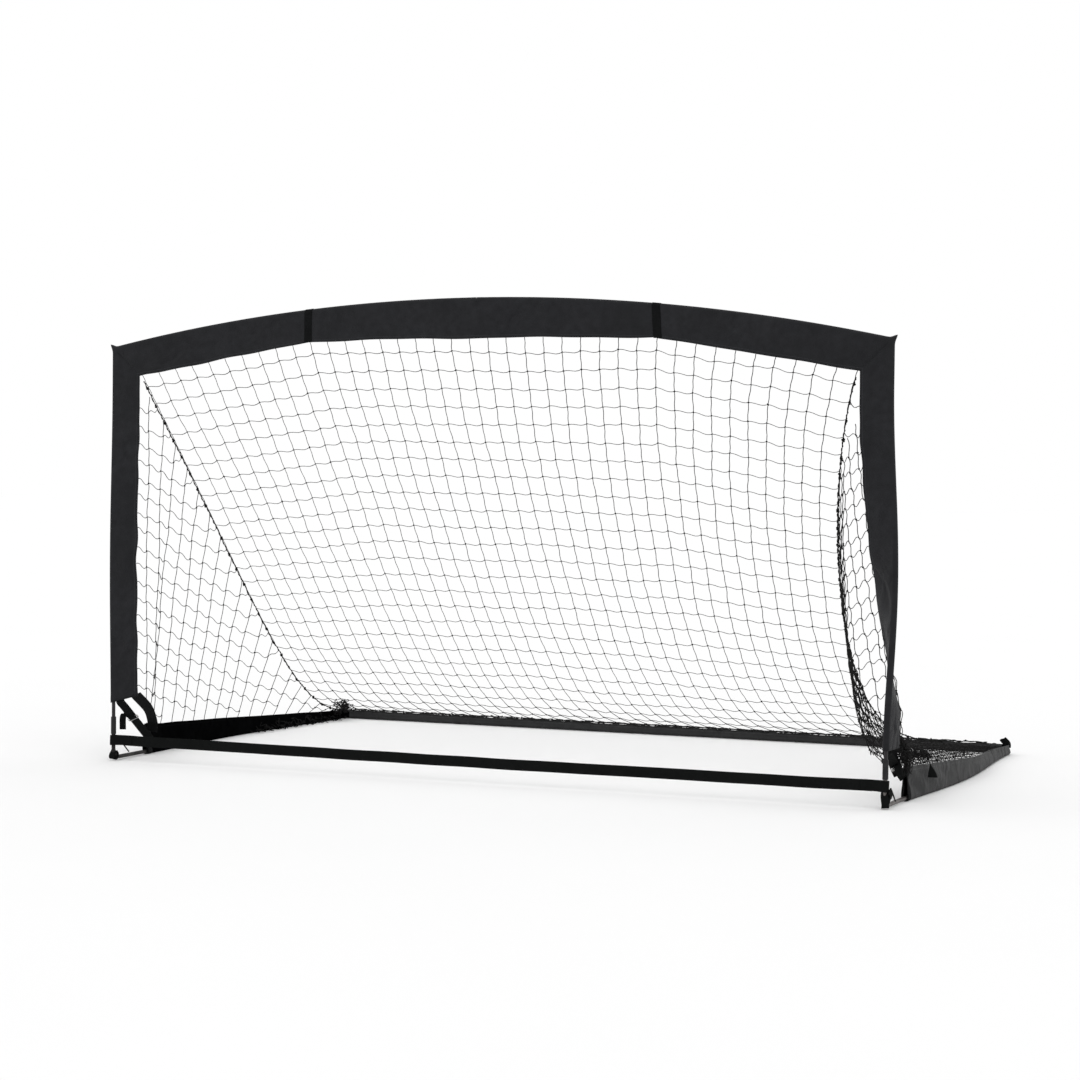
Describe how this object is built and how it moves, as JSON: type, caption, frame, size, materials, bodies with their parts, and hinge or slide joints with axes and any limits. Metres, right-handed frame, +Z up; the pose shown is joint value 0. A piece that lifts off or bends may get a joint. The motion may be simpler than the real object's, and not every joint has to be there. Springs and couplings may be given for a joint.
{
  "type": "pop-up goal",
  "caption": "Free-standing folding football goal with an arched fabric-covered crossbar, side frames, a rear ground bar and a slanted net; it folds flat sideways.",
  "frame": {"origin": "on the ground, under the middle of the whole object", "axes": "+Z up, +X to the right seen from the mouth, the mouth faces -Y and the net runs back to +Y"},
  "size_m": [2.4868, 1.5308, 1.3768],
  "materials": {
    "fabric": "matt black coated polyester",
    "webbing": "black woven webbing",
    "net": "black knotted twine net",
    "seam_cord": "black braided cord",
    "elastic": "black elastic cord",
    "pole": "dark satin fibreglass",
    "steel": "dark bare steel tube"
  },
  "bodies": {
    "left_frame": {"side_rail_left": "steel", "foot_socket_left": "pole", "upright_pole_lower_left": "pole", "upright_ferrule_left": "steel", "upright_pole_upper_left": "pole", "corner_elbow_left": "pole", "top_hinge_pin_left": "steel", "rear_hinge_pin_left": "steel", "upright_sleeve_left": "fabric", "corner_sleeve_left": "fabric", "base_sleeve_left": "fabric", "edge_band_left": "webbing", "adjuster_strap_left": "webbing", "stake_loop_front_left": "webbing", "stake_loop_rear_left": "webbing", "front_strap_loop_left": "webbing", "elastic_cord_left": "elastic", "side_net_left": "net", "seam_cord_left": "seam_cord", "back_net": "net", "front_strap": "webbing"},
    "crossbar_left": {"crossbar_outer_left": "pole", "crossbar_ferrule_left": "steel", "crossbar_inner_left": "pole", "crossbar_sleeve_outer_left": "fabric", "crossbar_sleeve_centre_left": "fabric", "crossbar_band_left": "webbing", "crown_hinge_pin": "steel"},
    "crossbar_right": {"crossbar_outer_right": "pole", "crossbar_ferrule_right": "steel", "crossbar_inner_right": "pole", "crossbar_sleeve_outer_right": "fabric", "crossbar_sleeve_centre_right": "fabric", "crossbar_band_right": "webbing"},
    "right_frame": {"side_rail_right": "steel", "foot_socket_right": "pole", "upright_pole_lower_right": "pole", "upright_ferrule_right": "steel", "upright_pole_upper_right": "pole", "corner_elbow_right": "pole", "top_hinge_pin_right": "steel", "rear_hinge_pin_right": "steel", "upright_sleeve_right": "fabric", "corner_sleeve_right": "fabric", "base_sleeve_right": "fabric", "edge_band_right": "webbing", "adjuster_strap_right": "webbing", "stake_loop_front_right": "webbing", "stake_loop_rear_right": "webbing", "front_strap_loop_right": "webbing", "elastic_cord_right": "elastic", "side_net_right": "net", "seam_cord_right": "seam_cord"},
    "rear_left": {"rear_bar_left": "steel", "rear_bar_sleeve_left": "fabric", "rear_middle_pin": "steel"},
    "rear_right": {"rear_bar_right": "steel", "rear_bar_sleeve_right": "fabric"},
    "buckle_left": {"adjuster_buckle_left": "steel"},
    "buckle_right": {"adjuster_buckle_right": "steel"}
  },
  "joints": [
    {"name": "crossbar_fold", "type": "hinge", "parent": "left_frame", "child": "crossbar_left", "pos_m": [-1.15, -0.75, 1.25136], "axis": [0, 0, 1], "range_deg": [0, 82], "deforming": ["back_net", "front_strap"]},
    {"name": "crown_fold", "type": "hinge", "parent": "crossbar_left", "child": "crossbar_right", "pos_m": [0, -0.76, 1.368], "axis": [0, 0, 1], "range_deg": [-164, 0]},
    {"name": "right_frame_fold", "type": "hinge", "parent": "crossbar_right", "child": "right_frame", "pos_m": [1.15, -0.75, 1.25136], "axis": [0, 0, 1], "range_deg": [0, 82]},
    {"name": "rear_bar_fold", "type": "hinge", "parent": "left_frame", "child": "rear_left", "pos_m": [-1.15, 0.75, 0.0085], "axis": [0, 0, 1], "range_deg": [-82, 0]},
    {"name": "rear_middle_fold", "type": "hinge", "parent": "rear_left", "child": "rear_right", "pos_m": [0, 0.76, 0.0085], "axis": [0, 0, 1], "range_deg": [0, 164]},
    {"name": "buckle_left_slide", "type": "slide", "parent": "left_frame", "child": "buckle_left", "axis": [-0.0276, 0.8084, -0.5879], "range_m": [-0.03, 0.03]},
    {"name": "buckle_right_slide", "type": "slide", "parent": "right_frame", "child": "buckle_right", "axis": [0.0302, 0.8858, -0.463], "range_m": [-0.03, 0.03]}
  ],
  "couplings": [
    {"joint": "crown_fold", "follows": "crossbar_fold", "ratio": -2},
    {"joint": "right_frame_fold", "follows": "crossbar_fold", "ratio": 1},
    {"joint": "rear_bar_fold", "follows": "crossbar_fold", "ratio": -1},
    {"joint": "rear_middle_fold", "follows": "crossbar_fold", "ratio": 2}
  ]
}
